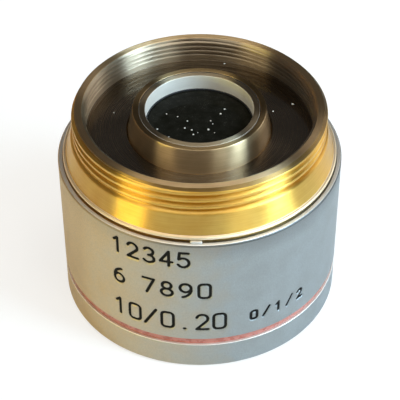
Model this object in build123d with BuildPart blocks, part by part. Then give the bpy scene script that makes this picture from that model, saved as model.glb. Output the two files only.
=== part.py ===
"""A low-power plan microscope objective, standing nose down with its mounting thread up.

The optical axis is Z, and the origin is the centre of the nose face that the object stands on.
Every piece is turned about that axis, apart from the locating key and the centring screws.
A brass mounting ring carries everything. Its outside has the mounting thread, a plain pilot and
the seating flange. Its web carries the lens barrel, which a lock ring holds from below. A plated
sleeve screws on from below and covers the barrel. The barrel holds a cemented pair at each end
and a centred negative lens between them. Sizes are in millimetres.
"""

import os
from math import sqrt

from build123d import *

# Mounting ring
thread_diameter = 25.0    # outside of the mounting thread
thread_length = 2.6
thread_chamfer = 0.2
rim_wall = 1.3            # from the thread's outside to the well
rim_bevel = 0.3           # bevel at the mouth of the well
pilot_step = 0.13         # the plain pilot stands this far outside the thread
pilot_height = 2.3
seat_width = 0.95         # radial width of the seating face
flange_thickness = 0.25
flange_chamfer = 0.1
neck_depth = 0.48         # the neck under the flange is cut in by this much
neck_height = 0.6
well_depth = 2.6          # rim to the floor round the boss
well_width = 4.16         # well's wall to the foot of the boss
web_thickness = 1.9
web_bevel = 0.12          # bevel of the web's hole, seen as a line round the boss
skirt_step = 0.2          # the skirt's thread is this far inside the neck
skirt_length = 3.6
skirt_wall = 1.9

# Sleeve, its colour ring and the key that sets its angle
sleeve_gap = 0.07         # round the flange
sleeve_rim = 0.45         # width of the sleeve's top round the flange
sleeve_exposed = 0.55     # from the sleeve's top up to the seating face
sleeve_chamfer = 0.12
nose_thickness = 1.3
nose_chamfer = 0.25
nose_bevel = 0.7          # bevel round the nose hole
nose_gap = 0.35           # nose hole to the lens barrel
wall_relief = 0.35        # the bore below the sleeve's thread is wider by this much
colour_ring_height = 3.53
colour_ring_width = 0.9
colour_groove_depth = 0.3
colour_ring_sunk = 0.24   # the lacquer is a thin coat on the groove's floor
key_width = 1.1
key_length = 1.0
key_sink = 0.5            # how far the key reaches below the neck
key_shy = 0.03            # the key ends this far under the flange
key_cover = 0.3           # sleeve metal left outside the key

# Lens barrel, and the ring and shim that set it in the mounting ring
lock_ring_width = 2.78
lock_ring_height = 2.0
barrel_wall = 1.55
barrel_flange_width = 1.3
barrel_flange_thickness = 1.2
shim_width = 2.2
shim_thickness = 0.3
boss_height = 2.4         # how far the boss stands above the floor of the well
boss_draft = 0.5          # the boss is this much slimmer at its top
boss_rim = 0.6            # land round the rear retaining ring
ledge_width = 0.65        # the ledge reaches in under the rear pair by this much
ledge_thickness = 0.8
nose_recess = 0.6         # the barrel ends this far inside the nose

# Fits
running_clearance = 0.04  # a turned piece in its bore
contact_gap = 0.02        # a ring's edge to the curved glass that it holds
screw_clearance = 0.03    # round the screws and the key
edge_break = 0.06

# Front pair, from the nose up
front_ring_wall = 1.1
front_ring_height = 1.3
front_ring_recess = 0.3
front_low_curve = 28.0
front_flint_middle = 1.2  # thickness on the axis
front_inner_curve = 15.0
front_crown_edge = 1.2    # thickness at the edge
front_top_curve = 20.0
front_spacer_wall = 0.95
front_spacer_length = 1.988

# Middle lens and its cell
centring_room = 0.45      # room round the middle cell for centring it
middle_cell_wall = 1.5
middle_ledge_width = 0.4
middle_ledge_thickness = 0.6
middle_low_curve = 20.0
middle_lens_middle = 1.0  # thickness on the axis
middle_top_curve = 16.0
middle_ring_wall = 0.7
middle_ring_height = 0.6
screw_count = 3
screw_diameter = 1.6
screw_sunk = 0.2
screw_slot_width = 0.3
screw_slot_depth = 0.4

# Stop and its spacer
stop_rim = 2.05           # the stop reaches in from the bore by this much
stop_thickness = 0.3
stop_spacer_wall = 0.85
stop_spacer_length = 2.1

# Rear pair, from the ledge up
rear_low_curve = 60.0
rear_flint_middle = 1.3   # thickness on the axis
rear_inner_curve = 17.0
rear_crown_edge = 1.75    # thickness at the edge
rear_top_curve = 30.0
rear_washer_thickness = 0.15
rear_washer_reach = 0.1   # the washer shows this far inside the retaining ring
rear_ring_wall = 0.6
rear_ring_height = 1.6
rear_ring_recess = 0.04

# Spanner slots of the retaining and lock rings
slot_width = 0.5
slot_depth = 0.35


def sag(curve, radius):
    """How far a spherical surface's middle stands off its edge at a radius."""
    return curve - sqrt(curve**2 - radius**2)


def facing_out(angle, height):
    """A plane on the axis, at a height, that faces out at an angle."""
    return Plane(
        origin=(0, 0, height),
        x_dir=(0, 0, 1),
        z_dir=Vector(1, 0, 0).rotate(Axis.Z, angle),
    )


def turned_ring(bore_radius, outer_radius, low, high):
    """A plain turned ring between two heights."""
    with BuildPart() as made:
        with BuildSketch(Plane.XY.offset(low)):
            Circle(outer_radius)
            Circle(bore_radius, mode=Mode.SUBTRACT)
        extrude(amount=high - low)
    return made


def spanner_ring(bore_radius, outer_radius, low, high, slots_on_top):
    """A turned ring with two spanner slots across its top or its underside."""
    slot_bottom = high - slot_depth if slots_on_top else low
    with BuildPart() as made:
        with BuildSketch(Plane.XY.offset(low)):
            Circle(outer_radius)
            Circle(bore_radius, mode=Mode.SUBTRACT)
        extrude(amount=high - low)
        with BuildSketch(Plane.XY.offset(slot_bottom)):
            Rectangle(3 * outer_radius, slot_width)
        extrude(amount=slot_depth, mode=Mode.SUBTRACT)
    return made


def lens(radius, top_middle, top_curve, low_middle, low_curve):
    """A lens between two spherical surfaces, each given by its height on the axis and its curve.

    A positive curve has its middle above its edge, and a negative one below.
    """

    def surface_points(middle, curve):
        drop = 1 if curve > 0 else -1
        return [(at, middle - drop * sag(abs(curve), at)) for at in (0, radius / 2, radius)]

    with BuildPart() as made:
        with BuildSketch(Plane.XZ):
            with BuildLine():
                upper = ThreePointArc(*surface_points(top_middle, top_curve))
                lower = ThreePointArc(*surface_points(low_middle, low_curve))
                Line(upper @ 0, lower @ 0)
                Line(upper @ 1, lower @ 1)
            make_face()
        revolve(axis=Axis.Z)
    return made


# Radii of the mounting ring and the sleeve, from the thread
thread_radius = thread_diameter / 2
well_radius = thread_radius - rim_wall
pilot_radius = thread_radius + pilot_step
flange_radius = pilot_radius + seat_width
neck_radius = flange_radius - neck_depth
skirt_radius = neck_radius - skirt_step
skirt_bore = skirt_radius - skirt_wall
sleeve_radius = flange_radius + sleeve_gap + sleeve_rim
sleeve_bore = skirt_radius + running_clearance
relief_bore = sleeve_bore + wall_relief

# Radii of the lens barrel and its rear pair, inward from the well
boss_radius = well_radius - well_width
boss_top_radius = boss_radius - boss_draft
web_bore = boss_radius + running_clearance
rear_bore = boss_top_radius - boss_rim
rear_lens_radius = rear_bore - running_clearance
rear_ring_bore = rear_lens_radius - rear_ring_wall
rear_washer_bore = rear_ring_bore - rear_washer_reach
ledge_bore = rear_bore - ledge_width

# Radii of the barrel below the web, inward from the skirt
barrel_radius = skirt_bore - lock_ring_width - 2 * running_clearance
barrel_flange_radius = barrel_radius + barrel_flange_width
nose_hole = barrel_radius + nose_gap
front_bore = barrel_radius - barrel_wall
front_lens_radius = front_bore - running_clearance
front_spacer_bore = front_lens_radius - front_spacer_wall
middle_cell_radius = front_bore - centring_room
middle_bore = middle_cell_radius - middle_cell_wall
middle_lens_radius = middle_bore - running_clearance
middle_ledge_bore = middle_bore - middle_ledge_width
middle_ring_radius = middle_bore + middle_ring_wall / 2
middle_ring_bore = middle_ring_radius - middle_ring_wall

# Heights of the front pair, from the nose up
front_ring_bottom = nose_recess + front_ring_recess
front_ring_top = front_ring_bottom + front_ring_height
front_low_middle = front_ring_top + contact_gap + sag(front_low_curve, front_lens_radius)
front_joint_middle = front_low_middle + front_flint_middle
front_joint_edge = front_joint_middle + sag(front_inner_curve, front_lens_radius)
front_top_edge = front_joint_edge + front_crown_edge
front_top_middle = front_top_edge + sag(front_top_curve, front_lens_radius)
front_spacer_bottom = front_top_middle - sag(front_top_curve, front_spacer_bore) + contact_gap

# Heights of the middle cell and the stop
middle_cell_bottom = front_spacer_bottom + front_spacer_length
middle_ledge_top = middle_cell_bottom + middle_ledge_thickness
middle_low_middle = middle_ledge_top + contact_gap + sag(middle_low_curve, middle_lens_radius)
middle_top_middle = middle_low_middle + middle_lens_middle
middle_ring_bottom = middle_top_middle + sag(middle_top_curve, middle_lens_radius) + contact_gap
stop_bottom = middle_ring_bottom + middle_ring_height
stop_top = stop_bottom + stop_thickness
ledge_bottom = stop_top + stop_spacer_length
screw_height = (middle_ledge_top + middle_ring_bottom) / 2
screw_angles = [90 + turn * 360 / screw_count for turn in range(screw_count)]

# Heights of the rear pair, from the ledge to the top of the boss
ledge_top = ledge_bottom + ledge_thickness
rear_low_middle = ledge_top + contact_gap - sag(rear_low_curve, ledge_bore)
rear_joint_middle = rear_low_middle + rear_flint_middle
rear_joint_edge = rear_joint_middle + sag(rear_inner_curve, rear_lens_radius)
rear_top_edge = rear_joint_edge + rear_crown_edge
rear_top_middle = rear_top_edge + sag(rear_top_curve, rear_lens_radius)
rear_washer_bottom = rear_top_middle - sag(rear_top_curve, rear_washer_bore) + contact_gap
rear_ring_bottom = rear_washer_bottom + rear_washer_thickness
rear_ring_top = rear_ring_bottom + rear_ring_height
boss_top = rear_ring_top + rear_ring_recess

# Heights of the mounting ring, from the boss, and of what hangs from its web
well_floor = boss_top - boss_height
rim_height = well_floor + well_depth
pilot_top = rim_height - thread_length
seat_height = pilot_top - pilot_height
web_bottom = well_floor - web_thickness
barrel_flange_top = web_bottom - shim_thickness
barrel_flange_bottom = barrel_flange_top - barrel_flange_thickness
flange_bottom = seat_height - flange_thickness
neck_bottom = flange_bottom - neck_height
skirt_bottom = neck_bottom - skirt_length
sleeve_top = seat_height - sleeve_exposed

# The keyway is cut in the neck, under the flange, and in the sleeve's top, on the engraved side
key_outer = sleeve_radius - key_cover
key_centre = key_outer - key_length / 2
key_bottom = neck_bottom - key_sink
with BuildSketch(Plane.XY.offset(key_bottom)) as keyway:
    with Locations((0, -key_centre)):
        Rectangle(key_width + 2 * screw_clearance, key_length + 2 * screw_clearance)

# Mounting ring: thread, pilot, flange and neck outside, and the well, web and skirt inside
with BuildPart() as mount_ring:
    with BuildSketch(Plane.XZ):
        with BuildLine():
            Polyline(
                (web_bore, web_bottom),
                (skirt_bore, web_bottom),
                (skirt_bore, skirt_bottom),
                (skirt_radius, skirt_bottom),
                (skirt_radius, neck_bottom),
                (neck_radius, neck_bottom),
                (neck_radius, flange_bottom),
                (flange_radius, flange_bottom),
                (flange_radius, seat_height - flange_chamfer),
                (flange_radius - flange_chamfer, seat_height),
                (pilot_radius, seat_height),
                (pilot_radius, pilot_top),
                (thread_radius, pilot_top),
                (thread_radius, rim_height - thread_chamfer),
                (thread_radius - thread_chamfer, rim_height),
                (well_radius + rim_bevel, rim_height),
                (well_radius, rim_height - rim_bevel),
                (well_radius, well_floor),
                (web_bore + web_bevel, well_floor),
                (web_bore, well_floor - web_bevel),
                close=True,
            )
        make_face()
    revolve(axis=Axis.Z)
    extrude(keyway.sketch, amount=flange_bottom - key_bottom, mode=Mode.SUBTRACT)

# Sleeve: a turned cup with a hole in its nose, a colour groove, and a counterbore for the flange
with BuildPart() as sleeve:
    with BuildSketch(Plane.XZ):
        with BuildLine():
            Polyline(
                (nose_hole + nose_bevel, 0),
                (sleeve_radius - nose_chamfer, 0),
                (sleeve_radius, nose_chamfer),
                (sleeve_radius, sleeve_top - sleeve_chamfer),
                (sleeve_radius - sleeve_chamfer, sleeve_top),
                (flange_radius + sleeve_gap, sleeve_top),
                (flange_radius + sleeve_gap, neck_bottom),
                (sleeve_bore, neck_bottom),
                (sleeve_bore, skirt_bottom),
                (relief_bore, skirt_bottom - wall_relief),
                (relief_bore, nose_thickness),
                (nose_hole, nose_thickness),
                (nose_hole, nose_bevel),
                close=True,
            )
        make_face()
    revolve(axis=Axis.Z)
    with BuildSketch(Plane.XY.offset(colour_ring_height - colour_ring_width / 2)):
        Circle(sleeve_radius + colour_groove_depth)
        Circle(sleeve_radius - colour_groove_depth, mode=Mode.SUBTRACT)
    extrude(amount=colour_ring_width, mode=Mode.SUBTRACT)
    extrude(keyway.sketch, amount=sleeve_top - key_bottom, mode=Mode.SUBTRACT)

# Coat of lacquer on the floor of the colour groove
colour_ring = turned_ring(
    sleeve_radius - colour_groove_depth,
    sleeve_radius - colour_ring_sunk,
    colour_ring_height - colour_ring_width / 2,
    colour_ring_height + colour_ring_width / 2,
)

# Key that sets the sleeve's angle to the mounting ring, seen in the gap under the flange
with BuildPart() as locating_key:
    with BuildSketch(Plane.XY.offset(key_bottom)):
        with Locations((0, -key_centre)):
            Rectangle(key_width, key_length)
    extrude(amount=flange_bottom - key_shy - key_bottom)
    chamfer(locating_key.edges().group_by(Axis.Z)[-1], edge_break)

# Lens barrel: the conical boss on top, the flange under the web, and a bore open at both ends
with BuildPart() as lens_barrel:
    with BuildSketch(Plane.XZ):
        with BuildLine():
            Polyline(
                (front_bore, nose_recess),
                (barrel_radius - nose_chamfer, nose_recess),
                (barrel_radius, nose_recess + nose_chamfer),
                (barrel_radius, barrel_flange_bottom),
                (barrel_flange_radius, barrel_flange_bottom),
                (barrel_flange_radius, barrel_flange_top),
                (boss_radius, barrel_flange_top),
                (boss_radius, well_floor),
                (boss_top_radius, boss_top - edge_break),
                (boss_top_radius - edge_break, boss_top),
                (rear_bore + edge_break, boss_top),
                (rear_bore, boss_top - edge_break),
                (rear_bore, ledge_top),
                (ledge_bore, ledge_top),
                (ledge_bore, ledge_bottom),
                (front_bore, ledge_bottom),
                close=True,
            )
        make_face()
    revolve(axis=Axis.Z)
    for angle in screw_angles:
        with BuildSketch(facing_out(angle, screw_height)):
            Circle(screw_diameter / 2 + screw_clearance)
        extrude(amount=barrel_flange_radius, mode=Mode.SUBTRACT)

# Shim between the barrel's flange and the web, which sets the focus height
parfocal_shim = turned_ring(
    boss_radius + running_clearance,
    boss_radius + running_clearance + shim_width,
    barrel_flange_top,
    web_bottom,
)

# Threaded ring inside the skirt that clamps the barrel's flange
lock_ring = spanner_ring(
    barrel_radius + running_clearance,
    barrel_radius + running_clearance + lock_ring_width,
    barrel_flange_bottom - lock_ring_height,
    barrel_flange_bottom,
    slots_on_top=False,
)

# Rear pair with the washer and the threaded ring that hold it on the ledge
with BuildPart() as rear_retaining_ring:
    with BuildSketch(Plane.XY.offset(rear_ring_bottom)):
        Circle(rear_lens_radius)
        Circle(rear_ring_bore, mode=Mode.SUBTRACT)
    extrude(amount=rear_ring_height)
    chamfer(rear_retaining_ring.edges().group_by(Axis.Z)[-1], edge_break)

rear_washer = turned_ring(
    rear_washer_bore,
    rear_lens_radius,
    rear_washer_bottom,
    rear_ring_bottom,
)

rear_crown_lens = lens(
    rear_lens_radius,
    rear_top_middle,
    rear_top_curve,
    rear_joint_middle,
    -rear_inner_curve,
)

rear_flint_lens = lens(
    rear_lens_radius,
    rear_joint_middle,
    -rear_inner_curve,
    rear_low_middle,
    -rear_low_curve,
)

# Stop, and the spacer that holds it off the ledge
stop_spacer = turned_ring(
    front_lens_radius - stop_spacer_wall,
    front_lens_radius,
    stop_top,
    ledge_bottom,
)

aperture_stop = turned_ring(
    front_lens_radius - stop_rim,
    front_lens_radius,
    stop_bottom,
    stop_top,
)

# Cell of the middle lens, smaller than the bore so that it can be centred
with BuildPart() as middle_cell:
    with BuildSketch(Plane.XZ):
        with BuildLine():
            Polyline(
                (middle_ledge_bore, middle_cell_bottom),
                (middle_cell_radius, middle_cell_bottom),
                (middle_cell_radius, stop_bottom),
                (middle_ring_radius + running_clearance, stop_bottom),
                (middle_ring_radius + running_clearance, middle_ring_bottom),
                (middle_bore, middle_ring_bottom),
                (middle_bore, middle_ledge_top),
                (middle_ledge_bore, middle_ledge_top),
                close=True,
            )
        make_face()
    revolve(axis=Axis.Z)

middle_lens = lens(
    middle_lens_radius,
    middle_top_middle,
    -middle_top_curve,
    middle_low_middle,
    middle_low_curve,
)

middle_retaining_ring = spanner_ring(
    middle_ring_bore,
    middle_ring_radius,
    middle_ring_bottom,
    stop_bottom,
    slots_on_top=True,
)

# Slotted screws through the barrel's wall that push the middle cell true
with BuildPart() as centring_screws:
    for angle in screw_angles:
        with BuildSketch(facing_out(angle, screw_height).offset(middle_cell_radius)):
            Circle(screw_diameter / 2)
        extrude(amount=barrel_radius - screw_sunk - middle_cell_radius)
        with BuildSketch(facing_out(angle, screw_height).offset(barrel_radius - screw_sunk)):
            Rectangle(2 * screw_diameter, screw_slot_width)
        extrude(amount=-screw_slot_depth, mode=Mode.SUBTRACT)

# Front pair with its spacer and the threaded ring in the nose
front_spacer = turned_ring(
    front_spacer_bore,
    front_lens_radius,
    front_spacer_bottom,
    middle_cell_bottom,
)

front_crown_lens = lens(
    front_lens_radius,
    front_top_middle,
    front_top_curve,
    front_joint_middle,
    -front_inner_curve,
)

front_flint_lens = lens(
    front_lens_radius,
    front_joint_middle,
    -front_inner_curve,
    front_low_middle,
    front_low_curve,
)

front_retaining_ring = spanner_ring(
    front_lens_radius - front_ring_wall,
    front_lens_radius,
    front_ring_bottom,
    front_ring_top,
    slots_on_top=False,
)

pieces = {
    "mount_ring": mount_ring,
    "sleeve": sleeve,
    "colour_ring": colour_ring,
    "locating_key": locating_key,
    "lens_barrel": lens_barrel,
    "parfocal_shim": parfocal_shim,
    "lock_ring": lock_ring,
    "rear_retaining_ring": rear_retaining_ring,
    "rear_washer": rear_washer,
    "rear_crown_lens": rear_crown_lens,
    "rear_flint_lens": rear_flint_lens,
    "stop_spacer": stop_spacer,
    "aperture_stop": aperture_stop,
    "middle_cell": middle_cell,
    "middle_lens": middle_lens,
    "middle_retaining_ring": middle_retaining_ring,
    "centring_screws": centring_screws,
    "front_spacer": front_spacer,
    "front_crown_lens": front_crown_lens,
    "front_flint_lens": front_flint_lens,
    "front_retaining_ring": front_retaining_ring,
}

os.makedirs("parts", exist_ok=True)
for name, piece in pieces.items():
    piece.part.label = name
    export_step(piece.part, f"parts/{name}.step")
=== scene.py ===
"""Looks of a microscope objective that stands on its nose with its mounting thread up.

Sizes are in millimetres and become metres when a mesh is written. The optical axis is Z.
Most pieces are an outline in (radius, height) carried round that axis. Outer sizes are read from
the boxes of the frame's nodes, and the sizes between them are named below.
"""

import math

import bpy
import numpy as np
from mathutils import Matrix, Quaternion, Vector


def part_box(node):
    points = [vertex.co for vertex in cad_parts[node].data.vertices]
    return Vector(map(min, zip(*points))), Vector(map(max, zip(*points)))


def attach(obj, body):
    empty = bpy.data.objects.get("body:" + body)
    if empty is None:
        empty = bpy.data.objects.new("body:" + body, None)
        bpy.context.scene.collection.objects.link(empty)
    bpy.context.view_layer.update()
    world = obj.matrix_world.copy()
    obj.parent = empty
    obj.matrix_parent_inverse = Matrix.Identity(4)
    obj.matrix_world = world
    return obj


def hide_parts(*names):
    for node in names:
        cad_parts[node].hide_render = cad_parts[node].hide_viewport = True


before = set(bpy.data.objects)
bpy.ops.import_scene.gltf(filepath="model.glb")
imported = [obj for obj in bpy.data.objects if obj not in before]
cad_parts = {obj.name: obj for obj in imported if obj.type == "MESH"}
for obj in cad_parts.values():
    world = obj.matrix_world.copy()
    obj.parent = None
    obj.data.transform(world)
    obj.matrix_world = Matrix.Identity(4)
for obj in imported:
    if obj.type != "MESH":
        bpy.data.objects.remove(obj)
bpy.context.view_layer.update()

METRE = 0.001
TURN = 2 * math.pi
# The side that faces the camera, as an angle about the axis
FRONT_DEGREES = 271.5
FRONT = math.radians(FRONT_DEGREES)


def node_box(name):
    """Lowest and highest corner of a CAD node, in millimetres."""
    return [np.round(np.array(corner) / METRE, 3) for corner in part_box(name)]


ring_low, ring_high = node_box("mount_ring")
shim_low, shim_high = node_box("parfocal_shim")
key_low, key_high = node_box("locating_key")
sleeve_high = node_box("sleeve")[1]
lacquer_low, lacquer_high = node_box("colour_ring")
barrel_low, barrel_high = node_box("lens_barrel")
lock_ring_high = node_box("lock_ring")[1]
spacer_high = node_box("stop_spacer")[1]
rear_ring_low, rear_ring_high = node_box("rear_retaining_ring")
washer_low = node_box("rear_washer")[0]
rear_glass_high = node_box("rear_crown_lens")[1]

# Mounting ring, outside. The threads' grooves are given by the height of one at the front.
THREAD_RADIUS = 12.5
THREAD_PITCH = 0.84
THREAD_DEPTH = 0.44
THREAD_ROOT = 0.06
THREAD_GROOVE = 20.98
THREAD_RUN_OUT = (18.75, 19.55)   # the grooves fade in between these heights
THREAD_STEP = THREAD_PITCH / 20   # height of a row
RIM_HEIGHT = ring_high[2]
LAND_OUTER = 12.16
CHAMFER_FOOT = 21.54
PILOT_RADIUS = 12.63
PILOT_TOP = 19.3
CONE_FOOT = 13.3            # radius where the cone meets the flange
CONE_PLAIN_TOP = 18.3       # below this the cone needs no rows of its own
CONE_FINE_FOOT = 18.6       # above this its rows are fine enough for the thread's run-out
CONE_STEP = 0.05
SEAT_HEIGHT = 17.0
FLANGE_RADIUS = ring_high[0]
FLANGE_BOTTOM = 16.75
FLANGE_BEVEL = 0.1
NECK_RADIUS = 13.1
NECK_FOOT = 16.15
SKIRT_RADIUS = 12.9
SKIRT_FOOT = ring_low[2]
SKIRT_EASE = 0.1

# Mounting ring, inside
WELL_RADIUS = 11.2
WELL_FLOOR = 19.3
WELL_CORNER = 0.06
MOUTH_BEVEL = 0.3
LAND_INNER = WELL_RADIUS + MOUTH_BEVEL
INNER_PITCH = 0.52
INNER_DEPTH = 0.24
INNER_ROOT = 0.04
INNER_GROOVE = 19.81
INNER_TOP = 21.62
INNER_FOOT = 19.9
INNER_RUN_OUT = (19.88, 20.05)
INNER_STEP = 0.036
WEB_BOTTOM = shim_high[2]
WEB_BORE = 7.08
WEB_BEVEL = 0.12
SKIRT_BORE = 11.0
RING_ANGLE_STEP = 0.9

# Keyway: angles in degrees from the front, and its floor's radius in the ring and in the sleeve
KEYWAY_MIDDLE = 270 - FRONT_DEGREES
KEYWAY_HALF_ANGLE = 2.44
KEYWAY_FOOT = key_low[2]
KEYWAY_IN_RING = 12.77
KEYWAY_IN_SLEEVE = 13.83

# Sleeve
SLEEVE_RADIUS = sleeve_high[0]
SLEEVE_TOP = sleeve_high[2]
RIM_BEVEL = 0.12
RIM_BORE = 13.65
RIM_STEP = 16.15
THREAD_BORE = 12.94
RELIEF_BORE = 13.29
RELIEF_SLOPE = 0.35
NOSE_HOLE = 8.49
NOSE_THICKNESS = 1.3
NOSE_CHAMFER = 0.25
NOSE_BEVEL = 0.7
GROOVE_RADIUS = 13.8
GROOVE_LOW = lacquer_low[2]
GROOVE_HIGH = lacquer_high[2]
LIP_TOP = 3.13
LIP_RADIUS = 14.06
STROKE_WIDTH = 0.42
STROKE_DEPTH = 0.11
# Rows of points up the wall as (low, high, step), fine where figures are engraved
WALL_ROWS = [
    (4.15, 4.9, 0.3), (5.0, 7.55, 0.07), (7.7, 9.25, 0.4), (9.35, 11.6, 0.07), (11.8, 13.2, 0.4),
    (13.38, 15.62, 0.07),
]
WALL_FOOT = 4.1
WALL_TOP = 15.9
# Columns of points as (start, end, step) in degrees from the front, fine across the figures
WALL_COLUMNS = [(-38.0, 12.5, 0.28), (19.5, 47.5, 0.28)]
WALL_ANGLE_STEP = 1.5

# Lacquer in the groove
LACQUER_RADIUS = lacquer_high[0]
LACQUER_GAP = 0.005
LACQUER_DIP = 0.02
LACQUER_MIDDLE = 3.6

# Rear cell
BARREL_FOOT = barrel_low[2]
BARREL_BORE = 6.59
BARREL_RADIUS = 8.14
BARREL_CHAMFER = 0.25
BARREL_FLANGE = barrel_high[0]
LEDGE_RADIUS = 5.29
LEDGE_BOTTOM = spacer_high[2]
LEDGE_TOP = 15.865
BOSS_FOOT = 7.04
BOSS_TOP_RADIUS = 6.54
BOSS_TOP = barrel_high[2]
EDGE_BREAK = 0.06
REAR_BORE = 5.94
REAR_RING_RADIUS = rear_ring_high[0]
REAR_RING_BORE = 5.3
REAR_RING_FOOT = rear_ring_low[2]
REAR_RING_TOP = rear_ring_high[2]
WASHER_BORE = 5.2
WASHER_FOOT = washer_low[2]
GLASS_RADIUS = rear_glass_high[0]
GLASS_TOP = rear_glass_high[2]
GLASS_CURVE = 30.0
GLASS_DOME_RADIUS = 5.86
GLASS_EDGE_TOP = 19.75
JOINT_MIDDLE = 16.951
JOINT_CURVE = -17.0

# Outlines and grids

EASE_STEPS = 4
FLAT_LENGTH = 0.05
DOME_POINTS = 40


def unit(vector):
    """The vector at length one."""
    return vector / np.linalg.norm(vector)


def path(*corners):
    """Outline points through corners of (radius, height, ease).

    Each corner is replaced by the curve (1-t)^2 a + 2t(1-t) b + t^2 c, where b is the corner and
    a and c lie on its two sides at the distance ease. Where a side is long enough, one more
    point beyond each end keeps that side flat in the shading.
    """
    spots = [np.array(corner[:2], float) for corner in corners]
    eases = [corner[2] if len(corner) > 2 else 0.0 for corner in corners]
    t = np.linspace(0, 1, EASE_STEPS + 1)[:, None]
    points = []
    for k, (spot, ease) in enumerate(zip(spots, eases)):
        if ease == 0 or k == 0 or k == len(spots) - 1:
            points.append(spot[None])
            continue
        back = spots[k - 1] - spot
        ahead = spots[k + 1] - spot
        start = spot + unit(back) * ease
        end = spot + unit(ahead) * ease
        if np.linalg.norm(back) > ease + eases[k - 1] + 2.5 * FLAT_LENGTH:
            points.append((start + unit(back) * FLAT_LENGTH)[None])
        points.append((1 - t) ** 2 * start + 2 * t * (1 - t) * spot + t**2 * end)
        if np.linalg.norm(ahead) > ease + eases[k + 1] + 2.5 * FLAT_LENGTH:
            points.append((end + unit(ahead) * FLAT_LENGTH)[None])
    return np.vstack(points)


def closed_path(*corners):
    """Outline points through corners and on to the first one, which is listed once."""
    return path(*corners, corners[0])[:-1]


def upright(radius, low, high, step):
    """Outline points on a wall of one radius, from low to high, or downward if low is above high."""
    count = max(2, int(round(abs(high - low) / step)) + 1)
    heights = np.linspace(low, high, count)
    return np.column_stack([np.full(count, radius), heights])


def slope(start, end, step):
    """Outline points on the straight line between two points of (radius, height)."""
    count = max(2, int(round(math.dist(start, end) / step)) + 1)
    return np.linspace(start, end, count)


def dome(radius, middle, curve):
    """Outline of a spherical face from the edge to the axis: z = middle - (c - sqrt(c^2 - r^2)).

    A negative curve turns the face over.
    """
    at = radius * np.sin(np.linspace(math.pi / 2, 0, DOME_POINTS))
    drop = abs(curve) - np.sqrt(curve**2 - at**2)
    return np.column_stack([at, middle - math.copysign(1, curve) * drop])


def even_angles(count):
    """Angles round the whole axis, evenly spaced."""
    return np.linspace(0, TURN, count, endpoint=False)


def angles_with(coarse_step, runs, marks):
    """Angles round the axis at a coarse step, with finer runs of (start, end, step) in degrees.

    Runs and marks are measured from the front. Marks are single angles that have to be there, so
    any other angle that nearly touches one is left out.
    """
    degrees = []
    at = -180.0
    for start, end, step in sorted(runs):
        count = max(2, int((start - at) / coarse_step))
        degrees.append(np.linspace(at, start, count, endpoint=False))
        degrees.append(np.linspace(start, end, int((end - start) / step), endpoint=False))
        at = end
    degrees.append(np.linspace(at, 180.0, int((180 - at) / coarse_step), endpoint=False))
    every = np.concatenate(degrees)
    for mark in marks:
        every = every[np.abs(every - mark) > 0.06]
    return FRONT + np.radians(np.sort(np.concatenate([every, marks])))


def keyway_marks():
    """Both edges of the keyway and an angle just outside each, in degrees from the front."""
    low = KEYWAY_MIDDLE - KEYWAY_HALF_ANGLE
    high = KEYWAY_MIDDLE + KEYWAY_HALF_ANGLE
    return np.array([low - 0.02, low, high, high + 0.02])


def with_keyway(outline, notched, angles):
    """Radius and height of every grid point, rows along the outline and columns by angle.

    The columns in the keyway follow the second outline, which has as many points.
    """
    from_middle = np.degrees(angles - FRONT) - KEYWAY_MIDDLE
    in_keyway = np.abs(from_middle) < KEYWAY_HALF_ANGLE + 0.001
    radius = np.where(in_keyway, notched[:, :1], outline[:, :1])
    height = np.where(in_keyway, notched[:, 1:], outline[:, 1:])
    return radius, height


def round_axis(radius, height, angles):
    """Grid points (r cos a, r sin a, z)."""
    return np.stack([radius * np.cos(angles), radius * np.sin(angles), height + 0 * angles], axis=-1)


def smoothstep(value, low, high):
    """0 below low, 1 above high, and 3t^2 - 2t^3 between them."""
    t = np.clip((value - low) / (high - low), 0, 1)
    return t * t * (3 - 2 * t)


# Meshes


def add_object(name, data):
    """An object with this mesh, lamp or camera, in the scene."""
    made = bpy.data.objects.new(name, data)
    bpy.context.scene.collection.objects.link(made)
    return made


def grid_faces(rows, columns, first=0, close_rows=True):
    """Four-cornered faces of a grid whose columns close on themselves."""
    index = first + np.arange(rows * columns).reshape(rows, columns)
    across = np.roll(index, -1, axis=1)
    if close_rows:
        above = np.roll(index, -1, axis=0)
        above_across = np.roll(across, -1, axis=0)
        return np.stack([index, across, above_across, above], axis=-1).reshape(-1, 4)
    return np.stack([index[:-1], across[:-1], across[1:], index[1:]], axis=-1).reshape(-1, 4)


def shell_faces(rows, columns):
    """Faces of a grid between two poles, which are its first and last vertices.

    Gives the four-cornered faces, and the two fans of triangles that join them to the poles.
    """
    ring = 1 + np.arange(columns)
    last_ring = ring + (rows - 1) * columns
    low_fan = np.column_stack([np.zeros(columns, int), np.roll(ring, -1), ring])
    high_pole = np.full(columns, rows * columns + 1)
    high_fan = np.column_stack([last_ring, np.roll(last_ring, -1), high_pole])
    return grid_faces(rows, columns, first=1, close_rows=False), np.vstack([low_fan, high_fan])


def numbered(*regions):
    """Number of the first region that holds each face, counted from 1, or 0 where none does."""
    return np.select(list(regions), list(range(1, len(regions) + 1)), 0)


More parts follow.
